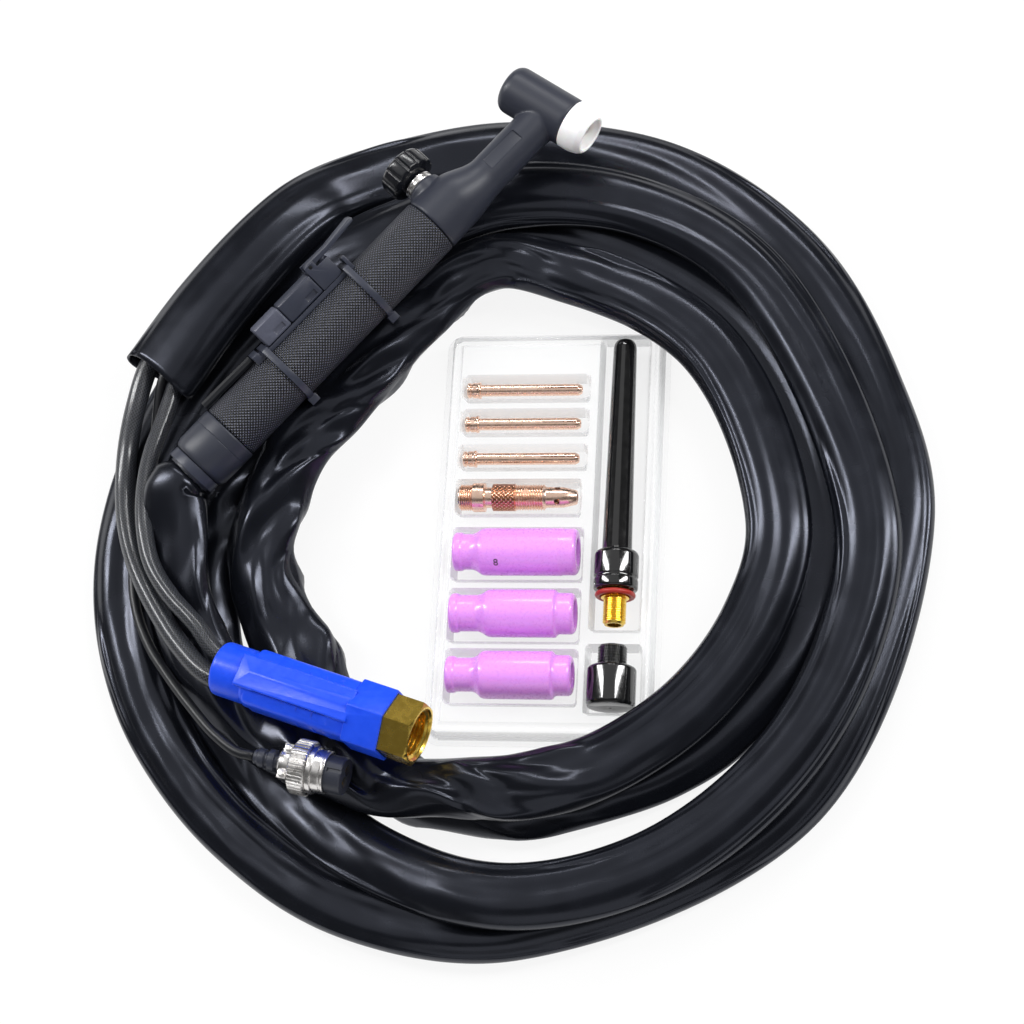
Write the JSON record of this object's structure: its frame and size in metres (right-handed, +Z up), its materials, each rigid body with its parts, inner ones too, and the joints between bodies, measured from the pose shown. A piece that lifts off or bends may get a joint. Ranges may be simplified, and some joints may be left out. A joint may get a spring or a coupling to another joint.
{
  "type": "tig torch",
  "caption": "Gas-cooled TIG welding torch with angled head, gas valve and finger switch on its handle, coiled sheathed lead with connectors, and a clear tray of spare consumables.",
  "frame": {"origin": "on the floor, under the middle of the footprint of the torch and the tray, the free lead not counted", "axes": "+Z up, +Y along the longer side of that footprint, towards the torch head; the torch points between +X and +Y"},
  "size_m": [0.366, 0.3852, 0.0627],
  "materials": {
    "rubber_black": "matt moulded rubber",
    "grip_plastic": "moulded plastic with a knurled surface",
    "sheath_pvc": "half-gloss soft cover",
    "braided_hose": "clear outer layer over a braid",
    "insulator_white": "satin white",
    "brass": "turned brass",
    "copper": "turned and drawn copper",
    "nickel": "bright nickel plate",
    "switch_black": "satin moulded plastic",
    "switch_grey": "fine grained moulded plastic",
    "knob_black": "glossy moulded plastic",
    "connector_blue": "glossy moulded soft plastic",
    "alumina": "lilac fired ceramic, satin",
    "cap_black": "polished black plastic",
    "oring_red": "silicone rubber",
    "tray_clear": "thin clear formed sheet"
  },
  "bodies": {
    "torch": {"boot_tie": "switch_black", "cable_sheath": "sheath_pvc", "control_cable": "rubber_black", "cup_insulator": "insulator_white", "gas_ferrule": "copper", "gas_hose": "braided_hose", "handle_grip": "grip_plastic", "handle_hose": "braided_hose", "head_insert": "brass", "hose_crimp": "copper", "hose_joint_nut": "brass", "hose_manifold": "brass", "hose_nipple": "brass", "lever_bracket": "switch_black", "lever_pin": "nickel", "neck_tube": "copper", "plug_clamp": "nickel", "plug_clamp_screw_left": "nickel", "plug_clamp_screw_right": "nickel", "plug_contact_left": "brass", "plug_contact_right": "brass", "plug_insert": "rubber_black", "plug_shell": "nickel", "plug_strain_relief": "rubber_black", "power_ferrule": "copper", "power_hose": "braided_hose", "rear_boot": "rubber_black", "sheath_mouth": "sheath_pvc", "switch_base": "switch_black", "switch_cover": "switch_grey", "switch_housing": "switch_black", "switch_lead": "rubber_black", "tie_front": "grip_plastic", "tie_rear": "grip_plastic", "torch_body": "rubber_black", "valve_block": "brass", "valve_collar": "nickel"},
    "tray": {"blister_tray": "tray_clear"},
    "spindle": {"valve_stem": "nickel"},
    "knob": {"valve_knob": "knob_black"},
    "lever": {"switch_lever": "switch_black"},
    "button": {"switch_button": "switch_grey"},
    "plug_ring": {"plug_coupling_ring": "nickel"},
    "union_nut": {"connector_nut": "brass", "connector_grip": "connector_blue"},
    "collet_a": {"collet_1": "copper"},
    "collet_b": {"collet_2": "copper"},
    "collet_c": {"collet_3": "copper"},
    "gas_collet_body": {"collet_body": "copper"},
    "nozzle_a": {"nozzle_1": "alumina"},
    "nozzle_b": {"nozzle_2": "alumina"},
    "nozzle_c": {"nozzle_3": "alumina"},
    "long_cap": {"long_back_cap": "cap_black", "long_cap_thread": "brass", "long_cap_oring": "oring_red"},
    "short_cap": {"short_back_cap": "cap_black"}
  },
  "joints": [
    {"name": "torch_lift", "type": "slide", "parent": "tray", "child": "torch", "axis": [0, 0, 1], "range_m": [0, 0.06]},
    {"name": "valve_lift", "type": "slide", "parent": "torch", "child": "spindle", "axis": [-0.7048, 0.7075, 0.0522], "range_m": [0, 0.0015]},
    {"name": "valve_turn", "type": "hinge", "parent": "spindle", "child": "knob", "pos_m": [0.00026, 0.09959, 0.04474], "axis": [-0.7048, 0.7075, 0.0522], "range_deg": [0, 540]},
    {"name": "lever_pivot", "type": "hinge", "parent": "torch", "child": "lever", "pos_m": [-0.04392, 0.05652, 0.05639], "axis": [-0.408, 0.4816, -0.7756], "range_deg": [0, 4]},
    {"name": "button_press", "type": "slide", "parent": "torch", "child": "button", "axis": [0.5747, -0.5246, -0.6281], "range_m": [0, 0.0004548]},
    {"name": "plug_ring_turn", "type": "hinge", "parent": "torch", "child": "plug_ring", "pos_m": [-0.04562, -0.15922, 0.03717], "axis": [0.965, -0.2586, 0.0436], "continuous": true},
    {"name": "union_nut_turn", "type": "hinge", "parent": "torch", "child": "union_nut", "pos_m": [-0.01495, -0.14234, 0.04568], "axis": [0.9282, -0.3656, 0.0698], "continuous": true},
    {"name": "collet_a_lift", "type": "slide", "parent": "tray", "child": "collet_a", "axis": [0, 0, 1], "range_m": [0, 0.035]},
    {"name": "collet_b_lift", "type": "slide", "parent": "tray", "child": "collet_b", "axis": [0, 0, 1], "range_m": [0, 0.035]},
    {"name": "collet_c_lift", "type": "slide", "parent": "tray", "child": "collet_c", "axis": [0, 0, 1], "range_m": [0, 0.035]},
    {"name": "gas_collet_body_lift", "type": "slide", "parent": "tray", "child": "gas_collet_body", "axis": [0, 0, 1], "range_m": [0, 0.035]},
    {"name": "nozzle_a_lift", "type": "slide", "parent": "tray", "child": "nozzle_a", "axis": [0, 0, 1], "range_m": [0, 0.035]},
    {"name": "nozzle_b_lift", "type": "slide", "parent": "tray", "child": "nozzle_b", "axis": [0, 0, 1], "range_m": [0, 0.035]},
    {"name": "nozzle_c_lift", "type": "slide", "parent": "tray", "child": "nozzle_c", "axis": [0, 0, 1], "range_m": [0, 0.035]},
    {"name": "long_cap_lift", "type": "slide", "parent": "tray", "child": "long_cap", "axis": [0, 0, 1], "range_m": [0, 0.035]},
    {"name": "short_cap_lift", "type": "slide", "parent": "tray", "child": "short_cap", "axis": [0, 0, 1], "range_m": [0, 0.035]}
  ],
  "couplings": [
    {"joint": "valve_lift", "follows": "valve_turn", "m_per_rad": 0.00015915},
    {"joint": "button_press", "follows": "lever_pivot", "m_per_rad": 0.0065}
  ]
}
